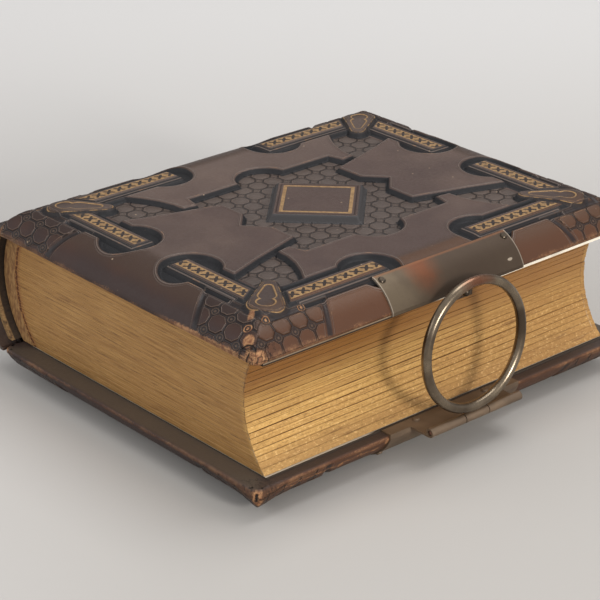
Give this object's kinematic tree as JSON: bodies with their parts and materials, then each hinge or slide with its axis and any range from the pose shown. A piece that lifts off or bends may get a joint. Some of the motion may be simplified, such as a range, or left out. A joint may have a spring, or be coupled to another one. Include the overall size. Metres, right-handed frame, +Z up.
{
  "type": "clasp photograph album",
  "caption": "Thick clasp photograph album lying flat: bevelled embossed leather covers, gilt-edged card leaves, hollow rounded back and a hinged ring clasp.",
  "frame": {"origin": "centre of the back cover's underside, on the surface that the album lies on", "axes": "+X from the spine to the clasp, +Y from the tail to the head along the covers' length, +Z up to the front cover"},
  "size_m": [0.1403, 0.15, 0.0571],
  "materials": {
    "embossed_leather": "satin",
    "spine_leather": "satin",
    "board_card": "matte",
    "lining_paper": "matte",
    "gilt_leaves": "satin",
    "guard_cloth": "matte",
    "liner_card": "matte",
    "clasp_brass": "dull patina",
    "ring_brass": "dull patina",
    "nail_brass": "dull",
    "pin_metal": "dull patina"
  },
  "bodies": {
    "back_cover": {"back_board": "board_card", "back_leather": "embossed_leather", "back_lining": "lining_paper", "clasp_lower_plate": "clasp_brass", "lower_plate_nails": "nail_brass", "hinge_pin": "pin_metal"},
    "book_block": {"leaf_block": "gilt_leaves", "leaf_guards": "guard_cloth", "spine_liner": "liner_card", "spine_leather": "spine_leather"},
    "front_cover": {"front_board": "board_card", "front_leather": "embossed_leather", "front_lining": "lining_paper", "clasp_upper_plate": "clasp_brass", "upper_plate_nails": "nail_brass", "clasp_stud": "pin_metal"},
    "clasp_ring": {"clasp_ring": "ring_brass", "ring_knuckle": "clasp_brass"}
  },
  "joints": [
    {"name": "front_cover_hinge", "type": "hinge", "parent": "book_block", "child": "front_cover", "pos_m": [-0.0616, 0, 0.0508], "axis": [0, -1, 0], "range_deg": [0, 180]},
    {"name": "book_block_hinge", "type": "hinge", "parent": "back_cover", "child": "book_block", "pos_m": [-0.0616, 0, 0.0064], "axis": [0, 1, 0], "range_deg": [-80, 0]},
    {"name": "clasp_ring_hinge", "type": "hinge", "parent": "back_cover", "child": "clasp_ring", "pos_m": [0.0682, 0, 0.0113], "axis": [0, 1, 0], "range_deg": [-5, 105]}
  ]
}
